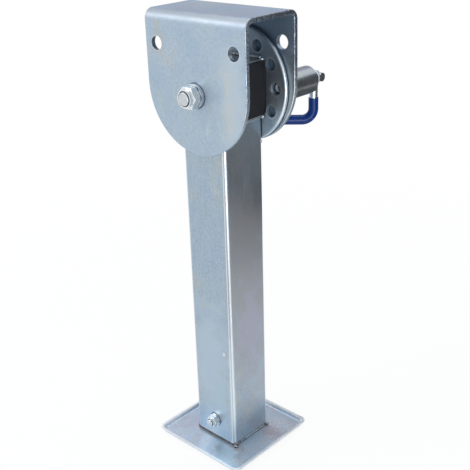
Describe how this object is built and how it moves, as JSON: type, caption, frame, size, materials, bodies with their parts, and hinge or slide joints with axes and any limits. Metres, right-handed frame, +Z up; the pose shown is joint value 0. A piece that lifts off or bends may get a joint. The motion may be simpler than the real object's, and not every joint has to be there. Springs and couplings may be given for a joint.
{
  "type": "trailer prop stand",
  "caption": "Swinging prop stand for a trailer: a square steel leg with a pressed foot, hung in a folded U bracket and held at set angles by a spring-loaded pull pin.",
  "frame": {"origin": "centre of the foot plate's underside, with the leg upright", "axes": "+Z up the leg to the bracket's top face; +Y along the pivot bolt, away from the lock nut and towards the index pin; +X across the bracket, towards the pin"},
  "size_m": [0.14, 0.1719, 0.51],
  "materials": {
    "zinc_plate": "satin, passivated zinc",
    "zinc_weld": "rough bead under zinc",
    "bolt_zinc": "bright zinc",
    "pin_steel": "turned, bright",
    "spring_steel": "drawn wire",
    "lock_ring": "nylon",
    "plug_plastic": "matt moulded",
    "bush_plastic": "matt moulded",
    "grip_plastic": "dipped, glossy"
  },
  "bodies": {
    "bracket": {"mounting_bracket": "zinc_plate", "pivot_bolt": "bolt_zinc", "pivot_lock_nut": "bolt_zinc", "pivot_nut_ring": "lock_ring", "pivot_washers": "bolt_zinc", "pin_housing": "zinc_plate", "housing_weld": "zinc_weld", "housing_bush": "bush_plastic", "pin_spring": "spring_steel"},
    "leg": {"leg_tube": "zinc_plate", "head_tube": "zinc_plate", "head_plugs": "plug_plastic", "pivot_sleeve": "pin_steel", "head_weld": "zinc_weld", "index_disc": "zinc_plate", "disc_weld": "zinc_weld", "foot_plate": "zinc_plate", "foot_spigot": "zinc_plate", "foot_weld": "zinc_weld", "foot_bolt": "bolt_zinc", "foot_lock_nut": "bolt_zinc", "foot_nut_ring": "lock_ring", "foot_washers": "bolt_zinc"},
    "pin_seat": {"spring_seat": "pin_steel"},
    "index_pin": {"index_pin": "pin_steel", "pull_handle": "bolt_zinc", "handle_grip": "grip_plastic", "handle_weld": "zinc_weld"}
  },
  "joints": [
    {"name": "leg_swing", "type": "hinge", "parent": "bracket", "child": "leg", "pos_m": [0, 0, 0.428], "axis": [0, 1, 0], "range_deg": [-30, 90]},
    {"name": "pin_slide", "type": "slide", "parent": "bracket", "child": "pin_seat", "axis": [0, 1, 0], "range_m": [-0.012, 0]},
    {"name": "handle_turn", "type": "hinge", "parent": "pin_seat", "child": "index_pin", "pos_m": [0.049, 0.10095, 0.428], "axis": [0, 1, 0], "continuous": true}
  ]
}
